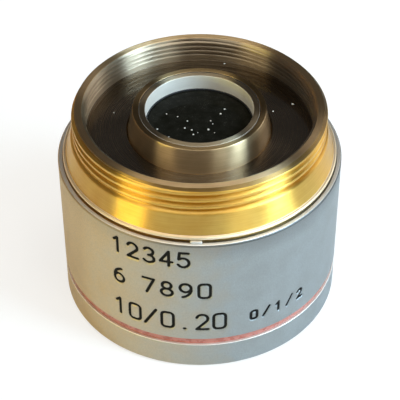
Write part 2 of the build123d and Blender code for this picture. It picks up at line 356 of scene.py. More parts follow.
def piece(name, points, finishes, replaced, finish_of=None, sharp=50, attribute=None):
    """An object from a grid of points, with its finishes, its slot and the node that it replaces.

    If the first row lies in one point, so does the last, and each becomes a pole with a fan of
    triangles. Otherwise the last row joins the first. finish_of takes the radius and height of
    the face centres and gives the number of each face's finish. attribute is a name and a
    number for every point.
    """
    rows, columns = points.shape[:2]
    if np.ptp(points[0], axis=0).max() < 1e-9:
        vertices = np.vstack([points[0, :1], points[1:-1].reshape(-1, 3), points[-1, :1]])
        quads, fans = shell_faces(rows - 2, columns)
        faces = quads.tolist() + fans.tolist()
    else:
        vertices = points.reshape(-1, 3)
        faces = grid_faces(rows, columns).tolist()
    mesh = bpy.data.meshes.new(name)
    mesh.from_pydata(vertices * METRE, [], faces)
    for finish in finishes:
        mesh.materials.append(finish)
    if finish_of is not None:
        centres = np.zeros(len(faces) * 3)
        mesh.polygons.foreach_get("center", centres)
        centres = centres.reshape(-1, 3) / METRE
        chosen = finish_of(np.hypot(centres[:, 0], centres[:, 1]), centres[:, 2])
        mesh.polygons.foreach_set("material_index", chosen.astype(np.int32))
    if attribute is not None:
        layer = mesh.attributes.new(attribute[0], "FLOAT", "POINT")
        layer.data.foreach_set("value", attribute[1].ravel().astype(np.float32))
    return finished(name, mesh, replaced, sharp)


def turned_piece(name, outline, finishes, replaced, finish_of=None, columns=300):
    """A piece whose outline is the same all round the axis."""
    points = round_axis(outline[:, :1], outline[:, 1:], even_angles(columns))
    return piece(name, points, finishes, replaced, finish_of)


def finished(name, mesh, replaced=(), sharp=50):
    """Shades a mesh smooth up to the sharp angle, and puts it on the frame."""
    mesh.polygons.foreach_set("use_smooth", np.ones(len(mesh.polygons), bool))
    mesh.set_sharp_from_angle(angle=math.radians(sharp))
    mesh.update()
    made = add_object(name, mesh)
    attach(made, "root")
    if replaced:
        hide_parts(*replaced)
    return made


# Finishes


def put(tree, socket, value):
    """Links a socket to an input, or sets the input to a number or colour."""
    if isinstance(value, bpy.types.NodeSocket):
        tree.links.new(value, socket)
    elif isinstance(value, tuple) and len(value) == 3 and socket.type == "RGBA":
        socket.default_value = (*value, 1.0)
    else:
        socket.default_value = value


def fill(tree, made, inputs):
    """Puts each value into the node's input of that name or number."""
    for name, value in inputs.items():
        put(tree, made.inputs[name], value)


def node(tree, kind, inputs=None, **settings):
    """Adds a shader node with its settings and inputs."""
    made = tree.nodes.new(kind)
    for name, value in settings.items():
        setattr(made, name, value)
    fill(tree, made, inputs or {})
    return made


def maths(tree, operation, first, second):
    """One sum on two numbers."""
    return node(tree, "ShaderNodeMath", {0: first, 1: second}, operation=operation).outputs[0]


def blend(tree, amount, first, second):
    """Mixes two colours."""
    made = node(tree, "ShaderNodeMix", {0: amount, 6: first, 7: second}, data_type="RGBA")
    return made.outputs[2]


def blend_number(tree, amount, first, second):
    """Mixes two numbers."""
    return node(tree, "ShaderNodeMix", {0: amount, 2: first, 3: second}).outputs[0]


def ramp(tree, value, low, high, low_value=0.0, high_value=1.0):
    """Carries a number from one range to another and stops at its ends."""
    inputs = {0: value, 1: low, 2: high, 3: low_value, 4: high_value}
    return node(tree, "ShaderNodeMapRange", inputs).outputs[0]


def place(tree):
    """Object coordinates, in metres."""
    return node(tree, "ShaderNodeTexCoord").outputs["Object"]


def scaled(tree, factors):
    """Object coordinates times a factor along each axis."""
    inputs = {0: place(tree), 1: factors}
    return node(tree, "ShaderNodeVectorMath", inputs, operation="MULTIPLY").outputs[0]


def along_axis(tree, axis):
    """The object coordinate along one axis, in millimetres: 0 is X and 2 is Z."""
    parts = node(tree, "ShaderNodeSeparateXYZ", {0: place(tree)})
    return maths(tree, "MULTIPLY", parts.outputs[axis], 1000)


def from_axis(tree):
    """Distance from the optical axis, in millimetres."""
    flat = scaled(tree, (1000, 1000, 0))
    return node(tree, "ShaderNodeVectorMath", {0: flat}, operation="LENGTH").outputs["Value"]


def lathe_lines(tree, per_mm):
    """Noise that runs round the axis in fine rings, as a turning tool leaves them.

    It is noise at (radius, 0.015 x, height), so it changes fast across the rings and slowly
    along them.
    """
    slow = maths(tree, "MULTIPLY", along_axis(tree, 0), 0.015)
    where = node(tree, "ShaderNodeCombineXYZ", {0: from_axis(tree), 1: slow, 2: along_axis(tree, 2)})
    inputs = {"Vector": where.outputs[0], "Scale": per_mm, "Detail": 3.0, "Roughness": 0.6}
    return node(tree, "ShaderNodeTexNoise", inputs).outputs["Fac"]


def mottle(tree, per_mm, detail=4.0):
    """Noise without direction, at so many features to the millimetre."""
    inputs = {"Vector": place(tree), "Scale": per_mm * 1000, "Detail": detail, "Roughness": 0.55}
    return node(tree, "ShaderNodeTexNoise", inputs).outputs["Fac"]


def relief(tree, height, depth):
    """Bump from a 0 to 1 height, its depth given in millimetres."""
    inputs = {"Height": height, "Distance": depth * METRE, "Strength": 1.0}
    return node(tree, "ShaderNodeBump", inputs).outputs[0]


def new_finish(name):
    """An empty material: its node tree and its main shader."""
    material = bpy.data.materials.new(name)
    material.use_nodes = True
    tree = material.node_tree
    return material, tree, tree.nodes["Principled BSDF"]


def turned_metal(name, light, dark, roughness, drawn_out=1.0, depth=0.0012, coat=0.0):
    """Turned metal: ring-shaped streaks in colour, roughness and relief, and a slow patina.

    Streaks and patina mix the colours light and dark. drawn_out says how far the tool's lines
    draw a highlight out across themselves, depth is their relief in millimetres, and coat is the
    share of clear lacquer, which gives a sharper and whiter highlight.
    """
    material, tree, shader = new_finish(name)
    lines_per_mm = 14.0
    streaks = lathe_lines(tree, lines_per_mm)
    patina = mottle(tree, 0.35)
    amount = ramp(tree, blend_number(tree, 0.5, streaks, patina), 0.35, 0.65)
    fill(tree, shader, {
        "Base Color": blend(tree, amount, dark, light),
        "Metallic": 1.0,
        "Roughness": ramp(tree, streaks, 0.3, 0.7, roughness - 0.05, roughness + 0.05),
        "Anisotropic": drawn_out,
        "Anisotropic Rotation": 0.25,
        "Coat Weight": coat,
        "Coat Roughness": 0.12,
        "Normal": relief(tree, lathe_lines(tree, lines_per_mm * 1.7), depth),
    })
    return material


def make_satin_plate():
    """Bead-blasted plate with black paint in the engraved strokes. Its left is painted warm as
    painted light, and the rest a little cool.

    The top of the wall is a little darker towards the rim, and a thin dark line lies just below
    the bevelled rim: both are painted shade, weaker on the warm left. The paint goes by the
    piece's stroke_distance, which is under nought inside a stroke.
    """
    material, tree, shader = new_finish("satin_plate")
    grain = mottle(tree, 9.0, detail=2.0)
    clouds = mottle(tree, 0.45, detail=5.0)
    cloudy = ramp(tree, clouds, 0.35, 0.65)
    # Painted light: the plate's left is painted warm and the rest a little cool, as the warm and the
    # cool lamps fall on them.
    ragged_side = maths(tree, "ADD", along_axis(tree, 0), ramp(tree, clouds, 0.3, 0.7, -2.0, 2.0))
    warm_light_side = ramp(tree, ragged_side, -11.0, 4.0, 1.0, 0.0)
    cool_lit_plate = blend(tree, cloudy, (0.38, 0.41, 0.42), (0.43, 0.465, 0.48))
    warm_lit_plate = blend(tree, cloudy, (0.67, 0.49, 0.27), (0.73, 0.545, 0.31))
    colour = blend(tree, warm_light_side, cool_lit_plate, warm_lit_plate)
    colour = blend(tree, ramp(tree, grain, 0.3, 0.7, 0.0, 0.35), colour, (0.27, 0.265, 0.25))

    # Painted shade: a thin dark line just below the bevelled rim, and the wall a little darker towards
    # the rim, both weaker on the warm left.
    height = along_axis(tree, 2)
    line_low = ramp(tree, height, SLEEVE_TOP - 0.27, SLEEVE_TOP - 0.19)
    line_high = ramp(tree, height, SLEEVE_TOP - 0.01, SLEEVE_TOP - 0.05)
    rim_shade_line = maths(tree, "MULTIPLY", maths(tree, "MINIMUM", line_low, line_high), 0.75)
    near_rim = ramp(tree, height, SLEEVE_TOP - 2.25, SLEEVE_TOP - 0.15)
    rim_shade_band = maths(tree, "MULTIPLY", near_rim, 0.28)
    painted_shade = maths(tree, "MAXIMUM", rim_shade_line, rim_shade_band)
    painted_shade = maths(tree, "MULTIPLY", painted_shade, ramp(tree, warm_light_side, 0.0, 1.0, 1.0, 0.35))
    colour = blend(tree, painted_shade, colour, (0.05, 0.048, 0.042))

    distance = node(tree, "ShaderNodeAttribute", attribute_name="stroke_distance").outputs["Fac"]
    wobble = ramp(tree, mottle(tree, 12.0, detail=1.0), 0.3, 0.7, -0.015, 0.015)
    paint = ramp(tree, maths(tree, "ADD", distance, wobble), -0.075, -0.04, 1.0, 0.0)
    blasted = ramp(tree, clouds, 0.35, 0.65, 0.50, 0.56)
    fill(tree, shader, {
        "Base Color": blend(tree, paint, colour, (0.012, 0.011, 0.010)),
        "Metallic": ramp(tree, paint, 0.0, 1.0, 1.0, 0.0),
        "Roughness": blend_number(tree, paint, blasted, 0.85),
        "Specular IOR Level": ramp(tree, paint, 0.0, 1.0, 0.5, 0.15),
        "Normal": relief(tree, grain, 0.006),
    })
    return material


def make_lacquer():
    """Red lacquer run into a turned groove, with a skin that isn't quite even."""
    material, tree, shader = new_finish("red_lacquer")
    clouds = mottle(tree, 1.2)
    thickness = ramp(tree, clouds, 0.3, 0.7)
    fill(tree, shader, {
        "Base Color": blend(tree, thickness, (0.44, 0.11, 0.08), (0.58, 0.19, 0.14)),
        "Roughness": ramp(tree, clouds, 0.3, 0.7, 0.22, 0.34),
        "Coat Weight": 0.6,
        "Coat Roughness": 0.12,
        "Normal": relief(tree, mottle(tree, 3.0), 0.006),
    })
    return material


def make_bright_steel():
    """Bright steel with fine straight scratches."""
    material, tree, shader = new_finish("bright_steel")
    drawn = scaled(tree, (3000, 14000, 22000))
    inputs = {"Vector": drawn, "Scale": 1.0, "Detail": 3.0}
    scratches = node(tree, "ShaderNodeTexNoise", inputs).outputs["Fac"]
    fill(tree, shader, {
        "Base Color": blend(tree, scratches, (0.70, 0.69, 0.66), (0.92, 0.91, 0.88)),
        "Metallic": 1.0,
        "Roughness": ramp(tree, scratches, 0.3, 0.7, 0.28, 0.42),
        "Normal": relief(tree, scratches, 0.002),
    })
    return material


def make_rear_glass():
    """Coated glass drawn opaque and near black: painted shade for the dark, black-lined inside seen
    through it. Very smooth, with a film of fine dust.
    """
    material, tree, shader = new_finish("rear_glass_painted_dark")
    film = mottle(tree, 1.1, detail=6.0)
    grains = mottle(tree, 14.0, detail=1.0)
    fine_dust = maths(tree, "MULTIPLY", ramp(tree, film, 0.42, 0.7), ramp(tree, grains, 0.66, 0.74))
    # Painted shade: the glass's near-black colour stands for the dark inside behind it.
    body = blend(tree, ramp(tree, film, 0.3, 0.7), (0.006, 0.006, 0.004), (0.012, 0.0115, 0.009))
    fill(tree, shader, {
        "Base Color": blend(tree, fine_dust, body, (0.10, 0.095, 0.08)),
        "Roughness": ramp(tree, fine_dust, 0.0, 1.0, 0.04, 0.5),
        "IOR": 1.52,
        "Specular IOR Level": 0.015,
    })
    return material


def make_black_anodised():
    """Matt black anodised aluminium with faint turning lines."""
    material, tree, shader = new_finish("black_anodised")
    streaks = lathe_lines(tree, 10.0)
    fill(tree, shader, {
        "Base Color": blend(tree, streaks, (0.010, 0.010, 0.011), (0.028, 0.028, 0.031)),
        "Roughness": ramp(tree, streaks, 0.3, 0.7, 0.42, 0.58),
        "Normal": relief(tree, streaks, 0.003),
    })
    return material


def make_flint_glass():
    """Clear polished glass with the faintest green, and a little haze."""
    material, tree, shader = new_finish("flint_glass")
    haze = mottle(tree, 0.6, detail=5.0)
    fill(tree, shader, {
        "Base Color": blend(tree, haze, (0.86, 0.90, 0.87), (0.93, 0.95, 0.92)),
        "Roughness": ramp(tree, haze, 0.3, 0.7, 0.01, 0.04),
        "IOR": 1.62,
        "Transmission Weight": 1.0,
    })
    return material


def make_dust():
    """Pale lint and skin dust."""
    material, tree, shader = new_finish("dust")
    fill(tree, shader, {
        "Base Color": blend(tree, mottle(tree, 8.0), (0.55, 0.53, 0.48), (0.85, 0.83, 0.78)),
        "Roughness": ramp(tree, mottle(tree, 5.0), 0.3, 0.7, 0.7, 0.95),
    })
    return material


# Turned metals: lighter colour, darker colour, roughness
gilt_brass = turned_metal(
    "gilt_brass", (0.90, 0.59, 0.13), (0.75, 0.41, 0.07), 0.34, depth=0.004, coat=0.35,
)
# The flange's top and edge are a paler copy of the brass: painted highlight, the bright line along the
# flange.
flange_highlight_brass = turned_metal(
    "flange_highlight_brass", (0.96, 0.82, 0.62), (0.86, 0.70, 0.48), 0.50, drawn_out=0.2, depth=0.002,
)
land_bronze = turned_metal("land_bronze", (0.80, 0.59, 0.34), (0.60, 0.41, 0.22), 0.38)
# The chamfer round the land is a darker copy of the bronze: painted shade, the dark line round the
# land.
chamfer_shade_bronze = turned_metal("chamfer_shade_bronze", (0.34, 0.22, 0.09), (0.22, 0.13, 0.04), 0.38)
well_wall_bronze = turned_metal(
    "well_wall_bronze", (0.52, 0.43, 0.31), (0.38, 0.30, 0.21), 0.38, depth=0.003, coat=0.3,
)
well_floor_bronze = turned_metal(
    "well_floor_bronze", (0.19, 0.145, 0.095), (0.12, 0.088, 0.055), 0.26, depth=0.001, coat=1.0,
)
boss_bronze = turned_metal(
    "boss_bronze", (0.80, 0.61, 0.37), (0.60, 0.44, 0.25), 0.36, depth=0.003, coat=0.5,
)
boss_land_bronze = turned_metal("boss_land_bronze", (0.34, 0.24, 0.12), (0.22, 0.15, 0.07), 0.38)
ring_land_bronze = turned_metal("ring_land_bronze", (0.44, 0.36, 0.25), (0.32, 0.25, 0.16), 0.40)
plain_brass = turned_metal("plain_brass", (0.66, 0.46, 0.18), (0.52, 0.34, 0.12), 0.34)
pale_turned = turned_metal(
    "pale_turned_metal", (0.96, 0.93, 0.87), (0.90, 0.86, 0.79), 0.75, drawn_out=0.2,
)
# The sleeve's rim and the groove's lower ledge are paler copies of the plate: painted highlight on
# faces that catch the light.
rim_highlight_plate = turned_metal(
    "plate_rim_highlight", (0.97, 0.95, 0.92), (0.88, 0.85, 0.80), 0.50, drawn_out=0.35, depth=0.001,
)
lip_highlight_plate = turned_metal(
    "plate_lip_highlight", (0.97, 0.93, 0.88), (0.90, 0.84, 0.78), 0.58, drawn_out=0.0, depth=0.001,
)
satin_plate = make_satin_plate()
red_lacquer = make_lacquer()
bright_steel = make_bright_steel()
rear_glass = make_rear_glass()
black_anodised = make_black_anodised()
flint_glass = make_flint_glass()
dust = make_dust()


# Mounting ring


def cone_radius(height):
    """Radius of the cone that flares from the foot of the mounting thread to the flange."""
    share = (PILOT_TOP - height) / (PILOT_TOP - SEAT_HEIGHT)
    return PILOT_RADIUS + (CONE_FOOT - PILOT_RADIUS) * share


def groove(height, angles, pitch, first, depth, root):
    """Depth of a right-handed sixty-degree thread groove at each height and angle.

    The distance along the axis to the nearest groove's middle is d. The depth is the full depth
    less 1.73 d, from half the root's width outward, and never under nought.
    """
    turns = (angles - FRONT) / TURN
    phase = (height - first) / pitch - turns
    away = np.abs((phase + 0.5) % 1.0 - 0.5) * pitch
    return np.clip(depth - np.maximum(0, away - root / 2) * math.sqrt(3), 0, depth)


def mount_ring_outline():
    """From the web's underside round the skirt, up the outside, and down the well to the web.

    Its last point joins the first, along the underside. The first lies 0.2 mm out past the
    skirt's bore, so a hidden fold of no thickness runs back from it inside the brass.
    """
    return np.vstack([
        path(
            (WELL_RADIUS, WEB_BOTTOM), (SKIRT_BORE, WEB_BOTTOM),
            (SKIRT_BORE, SKIRT_FOOT, SKIRT_EASE), (SKIRT_RADIUS, SKIRT_FOOT, SKIRT_EASE),
            (SKIRT_RADIUS, KEYWAY_FOOT),
        ),
        path(
            (SKIRT_RADIUS, KEYWAY_FOOT + 0.01), (SKIRT_RADIUS, NECK_FOOT), (NECK_RADIUS, NECK_FOOT),
            (NECK_RADIUS, FLANGE_BOTTOM), (FLANGE_RADIUS, FLANGE_BOTTOM, 0.03),
            (FLANGE_RADIUS, SEAT_HEIGHT - FLANGE_BEVEL, 0.03),
            (FLANGE_RADIUS - FLANGE_BEVEL, SEAT_HEIGHT, 0.03), (CONE_FOOT, SEAT_HEIGHT, 0.06),
            (cone_radius(CONE_PLAIN_TOP), CONE_PLAIN_TOP),
        ),
        slope((cone_radius(CONE_FINE_FOOT), CONE_FINE_FOOT), (PILOT_RADIUS, PILOT_TOP), CONE_STEP),
        upright(THREAD_RADIUS, PILOT_TOP + 0.01, CHAMFER_FOOT, THREAD_STEP),
        path(
            (THREAD_RADIUS - 0.05, CHAMFER_FOOT + 0.05), (LAND_OUTER, RIM_HEIGHT, 0.02),
            (LAND_INNER, RIM_HEIGHT, 0.03), (LAND_INNER - 0.2, RIM_HEIGHT - 0.2),
        ),
        upright(WELL_RADIUS, INNER_TOP, INNER_FOOT, INNER_STEP),
        path(
            (WELL_RADIUS, INNER_FOOT - 0.1), (WELL_RADIUS, WELL_FLOOR, WELL_CORNER),
            (WEB_BORE + WEB_BEVEL, WELL_FLOOR, 0.03), (WEB_BORE, WELL_FLOOR - WEB_BEVEL),
            (WEB_BORE, WEB_BOTTOM),
        ),
    ])


def mount_ring_grid():
    """The ring's outline round the axis, with its keyway, cut by both threads.

    A thread's groove fades in over its run-out by a smooth step.
    """
    angles = angles_with(RING_ANGLE_STEP, [], keyway_marks())
    plain = mount_ring_outline()
    notched = plain.copy()
    in_cut = (plain[:, 1] > KEYWAY_FOOT + 0.005) & (plain[:, 1] < FLANGE_BOTTOM + 0.001)
    in_cut &= plain[:, 0] < NECK_RADIUS + 0.1
    notched[in_cut, 0] = np.minimum(plain[in_cut, 0], KEYWAY_IN_RING)
    radius, height = with_keyway(plain, notched, angles)

    outside = (radius > LAND_OUTER - 0.11) & (height < RIM_HEIGHT - 0.1)
    cut = groove(height, angles, THREAD_PITCH, THREAD_GROOVE, THREAD_DEPTH, THREAD_ROOT)
    cut *= smoothstep(height, *THREAD_RUN_OUT)
    radius = np.where(outside, radius - cut, radius)

    inside = (np.abs(radius - WELL_RADIUS) < 0.25) & (height > INNER_FOOT - 0.05)
    cut = groove(height, angles, INNER_PITCH, INNER_GROOVE, INNER_DEPTH, INNER_ROOT)
    cut *= smoothstep(height, *INNER_RUN_OUT)
    radius = np.where(inside, np.maximum(radius, WELL_RADIUS + cut), radius)
    return round_axis(radius, height, angles)


def mount_ring_finish(radius, height):
    """Land, chamfer round it, well floor, well wall, and flange, with gilt brass elsewhere."""
    above_web = height > WELL_FLOOR - 0.3
    land = (height > RIM_HEIGHT - 0.02) & (radius < LAND_OUTER) & (radius > LAND_INNER - 0.08)
    chamfer = (height > CHAMFER_FOOT + 0.04) & (radius > LAND_INNER + 0.1)
    well_floor = above_web & (height < WELL_FLOOR + 0.07) & (radius < WELL_RADIUS)
    well_wall = above_web & (radius < LAND_INNER + 0.05)
    flange_top = (np.abs(height - SEAT_HEIGHT) < 0.03) & (radius > CONE_FOOT - 0.02)
    flange_edge = (height > FLANGE_BOTTOM + 0.01) & (height < SEAT_HEIGHT)
    flange_edge &= radius > FLANGE_RADIUS - FLANGE_BEVEL - 0.01
    return numbered(land, chamfer, well_floor, well_wall, flange_top | flange_edge)


piece(
    "threaded_mount_ring",
    mount_ring_grid(),
    [gilt_brass, land_bronze, chamfer_shade_bronze, well_floor_bronze, well_wall_bronze, flange_highlight_brass],
    ["mount_ring"],
    mount_ring_finish,
    sharp=72,
)


# Engraved figures, as strokes in a box one high


def bow(middle_x, middle_y, half_width, half_height, start, end, count=12):
    """Points on an ellipse between two angles in degrees."""
    t = np.radians(np.linspace(start, end, count))
    return np.column_stack([middle_x + half_width * np.cos(t), middle_y + half_height * np.sin(t)])


def line(*points):
    """A stroke through points."""
    return np.array(points, float)


def joined(*parts):
    """One stroke from several."""
    return np.vstack(parts)


FIGURES = {
    "0": [joined(
        bow(0.20, 0.80, 0.2, 0.2, 180, 90, 5), bow(0.42, 0.80, 0.2, 0.2, 90, 0, 5),
        bow(0.42, 0.20, 0.2, 0.2, 0, -90, 5), bow(0.20, 0.20, 0.2, 0.2, 270, 180, 5),
        line((0.0, 0.80)),
    )],
    "1": [line((0.10, 0.80), (0.32, 1.0), (0.32, 0.0))],
    "2": [joined(bow(0.31, 0.72, 0.29, 0.28, 165, -35), line((0.02, 0.0), (0.62, 0.0)))],
    "3": [bow(0.30, 0.755, 0.26, 0.245, 150, -90), bow(0.30, 0.255, 0.31, 0.255, 90, -150)],
    "4": [line((0.46, 0.0), (0.46, 1.0), (0.0, 0.28), (0.64, 0.28))],
    "5": [joined(line((0.56, 1.0), (0.10, 1.0), (0.05, 0.56)), bow(0.29, 0.32, 0.31, 0.32, 125, -150))],
    "6": [bow(0.31, 0.30, 0.30, 0.30, 0, 360, 17), bow(0.62, 0.42, 0.61, 0.58, 180, 105, 8)],
    "7": [line((0.0, 1.0), (0.62, 1.0), (0.20, 0.0))],
    "8": [bow(0.31, 0.755, 0.25, 0.245, 0, 360, 15), bow(0.31, 0.255, 0.31, 0.255, 0, 360, 17)],
    "9": [bow(0.31, 0.70, 0.30, 0.30, 0, 360, 17), bow(0.0, 0.58, 0.61, 0.58, 0, -75, 8)],
    "/": [line((-0.02, -0.02), (0.60, 1.02))],
    ".": [line((0.28, 0.02), (0.32, 0.02))],
}

# Lines of figures: text, angle of the first figure from the front and advance, both in degrees,
# height of the foot, height of a figure, and stretch sideways
FIGURE_LINES = [
    ("12345", -36.2, 6.9, 13.6, 1.8, 1.0),
    ("6", -36.0, 7.4, 9.6, 1.8, 1.0),
    ("7890", -22.9, 7.45, 9.6, 1.8, 1.0),
    ("10/0.20", -36.4, 6.95, 5.3, 2.0, 0.95),
    ("0/1/2", 20.6, 5.6, 5.75, 1.05, 1.0),
]
# A distance past every stroke
FAR = 9.0


def engraved_strokes():
    """Every stroke as short straight lengths (x1, z1, x2, z2) on the sleeve laid flat."""
    lengths = []
    per_degree = math.radians(1) * SLEEVE_RADIUS
    for text, start, advance, foot, tall, stretch in FIGURE_LINES:
        for number, figure in enumerate(text):
            for stroke in FIGURES[figure]:
                along = (start + advance * number) * per_degree + stroke[:, 0] * tall * stretch
                up = foot + stroke[:, 1] * tall
                lengths.append(np.column_stack([along[:-1], up[:-1], along[1:], up[1:]]))
    return np.vstack(lengths)


def distance_to_strokes(along, up, strokes):
    """Least distance from each point to any stroke: to the foot of the perpendicular, or an end."""
    nearest = np.full(along.shape, FAR)
    for x1, z1, x2, z2 in strokes:
        dx = x2 - x1
        dz = z2 - z1
        share = ((along - x1) * dx + (up - z1) * dz) / max(dx * dx + dz * dz, 1e-9)
        share = np.clip(share, 0, 1)
        away = np.hypot(along - x1 - share * dx, up - z1 - share * dz)
        nearest = np.minimum(nearest, away)
    return nearest


# Sleeve


def sleeve_outline():
    """The cup's outline from the nose hole out, up the wall, and back down the bore.

    Its last point joins the first, along the inside of the nose.
    """
    wall = SLEEVE_RADIUS
    nose = path(
        (NOSE_HOLE, NOSE_THICKNESS), (NOSE_HOLE, NOSE_BEVEL, 0.05), (NOSE_HOLE + NOSE_BEVEL, 0.0, 0.08),
        (wall - NOSE_CHAMFER, 0.0, 0.05), (wall, NOSE_CHAMFER, 0.05), (wall, GROOVE_LOW, 0.02),
        (LIP_RADIUS, LIP_TOP, 0.02), (GROOVE_RADIUS, LIP_TOP), (GROOVE_RADIUS, GROOVE_HIGH),
        (wall, GROOVE_HIGH, 0.03), (wall, WALL_FOOT),
    )
    rim = path(
        (wall, WALL_TOP), (wall, SLEEVE_TOP - RIM_BEVEL, 0.03), (wall - RIM_BEVEL, SLEEVE_TOP, 0.03),
        (RIM_BORE, SLEEVE_TOP, 0.02), (RIM_BORE, RIM_STEP), (THREAD_BORE, RIM_STEP),
        (THREAD_BORE, SKIRT_FOOT), (RELIEF_BORE, SKIRT_FOOT - RELIEF_SLOPE),
        (RELIEF_BORE, NOSE_THICKNESS),
    )
    return np.vstack([nose, *[upright(wall, *rows) for rows in WALL_ROWS], rim])


def sleeve_grid():
    """The cup, its keyway and its engraved figures, and each point's distance to the strokes' edge.

    The strokes are sunk by their depth times a smooth step from the edge of each stroke inward.
    """
    angles = angles_with(WALL_ANGLE_STEP, WALL_COLUMNS, keyway_marks())
    plain = sleeve_outline()
    notched = plain.copy()
    bore = (plain[:, 0] < RIM_BORE + 0.05) & (plain[:, 1] > RIM_STEP - 0.15)
    notched[bore, 0] = KEYWAY_IN_SLEEVE
    step = bore & (plain[:, 1] < RIM_STEP + 0.05)
    notched[step, 1] = KEYWAY_FOOT
    notched[step & (plain[:, 0] < THREAD_BORE + 0.06), 0] = THREAD_BORE
    radius, height = with_keyway(plain, notched, angles)

    along = (angles - FRONT) * SLEEVE_RADIUS + 0 * radius
    outer = (radius > SLEEVE_RADIUS - 0.01) & (height > GROOVE_HIGH + 0.52)
    distance = np.full(radius.shape, FAR)
    distance[outer] = distance_to_strokes(along[outer], height[outer], engraved_strokes())
    distance -= STROKE_WIDTH / 2
    sunk = STROKE_DEPTH * smoothstep(-distance, -0.03, 0.09)
    return round_axis(radius - sunk, height, angles), distance


def sleeve_finish(radius, height):
    """Paler and brighter on the rim and on the groove's lower ledge, as painted highlight, satin
    elsewhere.
    """
    top = (height > SLEEVE_TOP - 0.02) & (radius > RIM_BORE - 0.05)
    lip = (height > GROOVE_LOW) & (height < LIP_TOP + 0.01) & (radius > GROOVE_RADIUS - 0.01)
    return numbered(top, lip)


sleeve_points, stroke_distance = sleeve_grid()
piece(
    "engraved_sleeve",
    sleeve_points,
    [satin_plate, rim_highlight_plate, lip_highlight_plate],
    ["sleeve"],
    sleeve_finish,
    attribute=("stroke_distance", stroke_distance),
)


# Colour band and key

band_outline = path(
    (GROOVE_RADIUS, LIP_TOP + LACQUER_GAP), (LACQUER_RADIUS, LIP_TOP + LACQUER_GAP, 0.03),
    (LACQUER_RADIUS - LACQUER_DIP, LACQUER_MIDDLE),
    (LACQUER_RADIUS, GROOVE_HIGH - LACQUER_GAP, 0.03), (GROOVE_RADIUS, GROOVE_HIGH - LACQUER_GAP),
)
turned_piece("lacquer_band", band_outline, [red_lacquer], ["colour_ring"], columns=360)

KEY_CORNER = 0.08
KEY_EASE = 0.06
CORNER_POINTS = 5


def rounded_loop(half_x, half_y):
    """A rectangle with quarter-round corners, counter-clockwise.

    A corner's point is the corner's centre plus its radius times (cos t, sin t).
    """
    loop = []
    for sign_x, sign_y, start in ((1, 1, 0), (-1, 1, 90), (-1, -1, 180), (1, -1, 270)):
        t = np.radians(np.linspace(start, start + 90, CORNER_POINTS))
        x = sign_x * (half_x - KEY_CORNER) + KEY_CORNER * np.cos(t)
        y = sign_y * (half_y - KEY_CORNER) + KEY_CORNER * np.sin(t)
        loop.append(np.column_stack([x, y]))
    return np.vstack(loop)


def key_grid():
    """A rounded rectangle carried up between the key's corners, with a pole at each end.

    Beside each end it is drawn in by e - e sin t at the distance e - e cos t from that end,
    where e is the key's ease, so the edges there are quarter rounds.
    """
    middle_x, middle_y, _ = (key_low + key_high) / 2
    half_x, half_y, _ = (key_high - key_low) / 2
    pole = np.zeros((4 * CORNER_POINTS, 2))
    quarter = np.radians(np.linspace(0, 90, CORNER_POINTS))
    low = [(KEY_EASE - KEY_EASE * math.sin(t), KEY_EASE - KEY_EASE * math.cos(t)) for t in quarter]
    ends = [(inset, key_low[2] + rise) for inset, rise in low]
    ends += [(inset, key_high[2] - rise) for inset, rise in reversed(low)]
    loops = [(pole, key_low[2])]
    loops += [(rounded_loop(half_x - inset, half_y - inset), height) for inset, height in ends]
    loops += [(pole, key_high[2])]
    return np.stack([
        np.column_stack([middle_x + loop[:, 0], middle_y + loop[:, 1], np.full(len(loop), height)])
        for loop, height in loops
    ])


piece("bright_key", key_grid(), [bright_steel], ["locating_key"], sharp=60)


# Rear cell: boss, retaining ring, washer and glass


def rear_cell_outline():
    """The lens barrel's outline: boss on top, flange under the web, and the stepped bore."""
    flange_low = lock_ring_high[2]
    flange_high = shim_low[2]
    return closed_path(
        (BARREL_BORE, BARREL_FOOT), (BARREL_RADIUS - BARREL_CHAMFER, BARREL_FOOT, 0.05),
        (BARREL_RADIUS, BARREL_FOOT + BARREL_CHAMFER, 0.05), (BARREL_RADIUS, flange_low),
        (BARREL_FLANGE, flange_low, 0.05), (BARREL_FLANGE, flange_high, 0.05),
        (BOSS_FOOT, flange_high), (BOSS_FOOT, WELL_FLOOR),
        (BOSS_TOP_RADIUS, BOSS_TOP - EDGE_BREAK, 0.03), (BOSS_TOP_RADIUS - EDGE_BREAK, BOSS_TOP, 0.03),
        (REAR_BORE + EDGE_BREAK, BOSS_TOP, 0.03), (REAR_BORE, BOSS_TOP - EDGE_BREAK, 0.03),
        (REAR_BORE, LEDGE_TOP), (LEDGE_RADIUS, LEDGE_TOP), (LEDGE_RADIUS, LEDGE_BOTTOM),
        (BARREL_BORE, LEDGE_BOTTOM),
    )


def rear_cell_finish(radius, height):
    """Black in the bore, darker bronze on the land on top, bronzed elsewhere."""
    bore_radius = np.where(height < LEDGE_TOP, BARREL_BORE, REAR_BORE)
    bore = (radius < bore_radius + 0.03) & (height < BOSS_TOP - 0.05)
    return numbered(bore, height > BOSS_TOP - 0.03)


def retaining_ring_finish(radius, height):
    """The land on top is bronze, the rest is pale."""
    return numbered((height > REAR_RING_TOP - 0.04) & (radius > REAR_RING_BORE + 0.03))


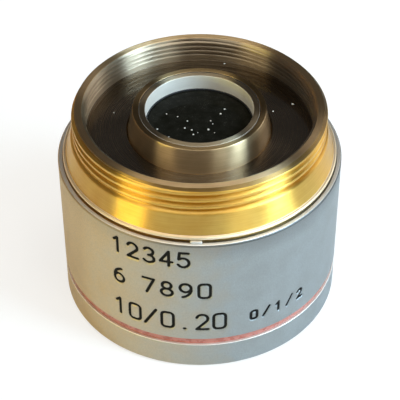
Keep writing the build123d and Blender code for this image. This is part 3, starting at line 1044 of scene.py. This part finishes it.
rear_ring_outline = closed_path(
    (REAR_RING_BORE, REAR_RING_FOOT), (REAR_RING_RADIUS, REAR_RING_FOOT, 0.03),
    (REAR_RING_RADIUS, REAR_RING_TOP - EDGE_BREAK, 0.03),
    (REAR_RING_RADIUS - EDGE_BREAK, REAR_RING_TOP, 0.02),
    (REAR_RING_BORE + EDGE_BREAK, REAR_RING_TOP, 0.02),
    (REAR_RING_BORE, REAR_RING_TOP - EDGE_BREAK, 0.03),
)
washer_outline = closed_path(
    (WASHER_BORE, WASHER_FOOT), (REAR_RING_RADIUS, WASHER_FOOT), (REAR_RING_RADIUS, REAR_RING_FOOT),
    (WASHER_BORE, REAR_RING_FOOT, 0.03),
)
joint_face = dome(GLASS_RADIUS, JOINT_MIDDLE, JOINT_CURVE)[::-1]
glass_corner = (GLASS_RADIUS, GLASS_EDGE_TOP, 0.04)
glass_edge = path(joint_face[-1], glass_corner, (GLASS_RADIUS - 0.1, GLASS_EDGE_TOP + 0.03))[1:-1]
glass_outline = np.vstack([
    joint_face[:-1], glass_edge, dome(GLASS_DOME_RADIUS, GLASS_TOP, GLASS_CURVE),
])

turned_piece(
    "rear_cell",
    rear_cell_outline(),
    [boss_bronze, black_anodised, boss_land_bronze],
    ["lens_barrel"],
    rear_cell_finish,
)
turned_piece(
    "rear_ring",
    rear_ring_outline,
    [pale_turned, ring_land_bronze],
    ["rear_retaining_ring"],
    retaining_ring_finish,
)
turned_piece("rear_seat_washer", washer_outline, [black_anodised], ["rear_washer"])
turned_piece("rear_glass", glass_outline, [rear_glass], ["rear_crown_lens"])


# Dust on the glass and in the well, as (x, y, size)

GLASS_SPECKS = [
    (2.44, 1.72, 0.085), (2.06, 0.90, 0.065), (1.10, -0.31, 0.05), (1.31, -0.76, 0.055),
    (0.90, -1.63, 0.075), (1.50, -2.06, 0.05), (-0.55, -2.36, 0.06), (-0.71, -1.72, 0.05),
    (-1.40, -1.42, 0.05), (-0.12, -2.10, 0.045), (-1.17, -0.37, 0.045), (-2.15, 0.37, 0.05),
    (-3.26, 0.90, 0.06), (-4.08, -1.34, 0.065), (-2.93, -2.61, 0.05), (-2.01, -3.35, 0.06),
]
WELL_SPECKS = [
    (7.27, 2.62, 0.07), (9.24, 3.84, 0.075), (2.34, 10.54, 0.07), (-6.1, -7.6, 0.06),
    (-8.6, 2.1, 0.05),
]
# Half the width and height of a speck, and its lift off the surface, for a size of 1
SPECK_HALF_WIDTH = 1.3
SPECK_HALF_HEIGHT = 0.585
SPECK_LIFT = 0.3
SPECK_RINGS = np.radians([-62, -30, 0, 30, 62])
SPECK_COLUMNS = 10


def speck_mesh():
    """Flattened, lumpy ellipsoids: size (w cos u cos v, w sin u cos v, h sin v), seeded lumps."""
    chance = np.random.default_rng(41)
    centres = []
    for x, y, size in GLASS_SPECKS:
        drop = GLASS_CURVE - math.sqrt(GLASS_CURVE**2 - x * x - y * y)
        centres.append((x, y, GLASS_TOP - drop + SPECK_LIFT * size, size))
    centres += [(x, y, WELL_FLOOR + SPECK_LIFT * size, size) for x, y, size in WELL_SPECKS]
    centres = np.array(centres)
    around, up = np.meshgrid(even_angles(SPECK_COLUMNS), SPECK_RINGS)
    flat = SPECK_HALF_WIDTH * np.cos(up)
    tall = SPECK_HALF_HEIGHT * np.sin(up)
    ball = np.stack([flat * np.cos(around), flat * np.sin(around), tall], axis=-1)
    pole = np.array([[0, 0, SPECK_HALF_HEIGHT]])
    ball = np.vstack([-pole, ball.reshape(-1, 3), pole])
    swell = chance.uniform(0.75, 1.2, (len(centres), len(ball), 1))
    stretch = chance.uniform(0.7, 1.35, (len(centres), 1, 2))
    shape = ball * swell * centres[:, None, 3:]
    shape[:, :, :2] *= stretch
    points = (shape + centres[:, None, :3]).reshape(-1, 3)
    quads, fans = shell_faces(len(SPECK_RINGS), SPECK_COLUMNS)
    shift = np.arange(len(centres))[:, None, None] * len(ball)
    faces = (quads + shift).reshape(-1, 4).tolist() + (fans + shift).reshape(-1, 3).tolist()
    mesh = bpy.data.meshes.new("dust_specks")
    mesh.from_pydata(points * METRE, [], faces)
    mesh.materials.append(dust)
    return mesh


finished("dust_specks", speck_mesh())


# Finishes of the pieces inside that keep their solids

INSIDE = {
    "parfocal_shim": plain_brass,
    "lock_ring": boss_bronze,
    "rear_flint_lens": flint_glass,
    "stop_spacer": black_anodised,
    "aperture_stop": black_anodised,
    "middle_cell": black_anodised,
    "middle_lens": flint_glass,
    "middle_retaining_ring": black_anodised,
    "centring_screws": bright_steel,
    "front_spacer": black_anodised,
    "front_crown_lens": flint_glass,
    "front_flint_lens": flint_glass,
    "front_retaining_ring": black_anodised,
}
for name, finish in INSIDE.items():
    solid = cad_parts[name]
    if not solid.material_slots:
        solid.data.materials.append(finish)
    for material_slot in solid.material_slots:
        material_slot.material = finish


# Floor, light and camera. Their places are in metres and degrees, seen from the camera's side.

FLOOR_REACH = 3.0
FLOOR_DROP = 1e-5
FLOOR_GLOW = 0.66
FLOOR_MIRRORED = 0.12
ROOM_LIGHT = 0.09
LAMP_DISTANCE = 0.45
LAMP_AIM = 0.012
# Name, azimuth, elevation, width and height in degrees as the object sees them, radiance, colour
LAMPS = [
    ("window", 65, 32, 20, 54, 11.0, (0.60, 0.82, 1.0)),
    ("pale_panel", 33, 32, 18, 44, 1.9, (0.82, 0.96, 1.0)),
    ("warm_lamp", -56, 30, 26, 36, 1.8, (1.0, 0.84, 0.52)),
    ("low_warm_lamp", -54, 4, 24, 7, 11.0, (1.0, 0.92, 0.12)),
    ("low_left_panel", -112, 3.2, 80, 6, 1.5, (1.0, 0.50, 0.10)),
    ("low_right_panel", 95, 8, 50, 12, 1.5, (0.66, 0.88, 1.0)),
    ("side_panel", 122, 24, 30, 40, 1.3, (1.0, 0.94, 0.86)),
    ("ceiling", 0, 84, 50, 40, 2.3, (1.0, 0.97, 0.88)),
]
CAMERA_ELEVATION = 41.335
CAMERA_DISTANCE = 0.150258
CAMERA_AIM = 0.010
CAMERA_ROLL = -0.25
LENS = 131.88


def make_floor():
    """A pale floor that shows white to the camera and in the metal, and keeps the shadow."""
    material, tree, shader = new_finish("pale_floor")
    ray = node(tree, "ShaderNodeLightPath").outputs
    paper = blend(tree, mottle(tree, 0.02), (0.70, 0.70, 0.70), (0.72, 0.72, 0.72))
    in_metal_or_glass = maths(tree, "MAXIMUM", ray["Is Glossy Ray"], ray["Is Transmission Ray"])
    mirrored = maths(tree, "MULTIPLY", in_metal_or_glass, FLOOR_MIRRORED)
    seen = maths(tree, "MULTIPLY", ray["Is Camera Ray"], FLOOR_GLOW)
    fill(tree, shader, {
        "Base Color": blend(tree, ray["Is Camera Ray"], paper, (0.38, 0.38, 0.38)),
        "Roughness": 0.9,
        "Specular IOR Level": 0.1,
        "Emission Color": (1.0, 1.0, 1.0),
        "Emission Strength": maths(tree, "MAXIMUM", mirrored, seen),
    })
    mesh = bpy.data.meshes.new("floor")
    sides = [(-1, -1), (1, -1), (1, 1), (-1, 1)]
    corners = [(x * FLOOR_REACH, y * FLOOR_REACH, -FLOOR_DROP) for x, y in sides]
    mesh.from_pydata(corners, [], [(0, 1, 2, 3)])
    mesh.materials.append(material)
    floor = add_object("floor", mesh)


def from_camera_side(azimuth, elevation, distance):
    """A point round the object, its azimuth counted to the right from the camera's side."""
    a = FRONT + math.radians(azimuth)
    e = math.radians(elevation)
    return Vector((math.cos(a) * math.cos(e), math.sin(a) * math.cos(e), math.sin(e))) * distance


def softbox(name, azimuth, elevation, wide, tall, radiance, colour):
    """A flat lamp that faces the object."""
    lamp = bpy.data.lights.new(name, "AREA")
    lamp.shape = "RECTANGLE"
    lamp.size = 2 * LAMP_DISTANCE * math.tan(math.radians(wide / 2))
    lamp.size_y = 2 * LAMP_DISTANCE * math.tan(math.radians(tall / 2))
    lamp.energy = radiance * math.pi * lamp.size * lamp.size_y
    lamp.color = colour
    made = add_object(name, lamp)
    made.location = from_camera_side(azimuth, elevation, LAMP_DISTANCE) + Vector((0, 0, LAMP_AIM))
    made.rotation_mode = "QUATERNION"
    made.rotation_quaternion = from_camera_side(azimuth, elevation, 1).to_track_quat("Z", "Y")
    made.visible_camera = False


def make_world():
    """Even pale light, seen by the camera as white."""
    world = bpy.data.worlds.new("studio")
    bpy.context.scene.world = world
    world.use_nodes = True
    tree = world.node_tree
    tree.nodes.clear()
    is_camera = node(tree, "ShaderNodeLightPath").outputs["Is Camera Ray"]
    room = node(tree, "ShaderNodeBackground", {"Color": (1.0, 0.98, 0.96), "Strength": ROOM_LIGHT})
    white = node(tree, "ShaderNodeBackground", {"Color": (1.0, 1.0, 1.0), "Strength": 1.0})
    inputs = {0: is_camera, 1: room.outputs[0], 2: white.outputs[0]}
    mixed = node(tree, "ShaderNodeMixShader", inputs)
    node(tree, "ShaderNodeOutputWorld", {0: mixed.outputs[0]})


def make_camera():
    """The photograph's place: 150 mm from the object, 41 degrees up, a long lens."""
    data = bpy.data.cameras.new("camera")
    data.sensor_width = 36.0
    data.lens = LENS
    data.shift_x = 0.000465
    data.shift_y = -0.004935
    data.clip_start = 0.01
    data.clip_end = 20.0
    made = add_object("camera", data)
    aim = Vector((0, 0, CAMERA_AIM))
    made.location = aim + from_camera_side(0, CAMERA_ELEVATION, CAMERA_DISTANCE)
    made.rotation_mode = "QUATERNION"
    roll = Quaternion((0, 0, 1), math.radians(CAMERA_ROLL))
    made.rotation_quaternion = (made.location - aim).to_track_quat("Z", "Y") @ roll
    bpy.context.scene.camera = made


make_floor()
for lamp in LAMPS:
    softbox(*lamp)
make_world()
make_camera()
bpy.context.scene.view_settings.view_transform = "Standard"
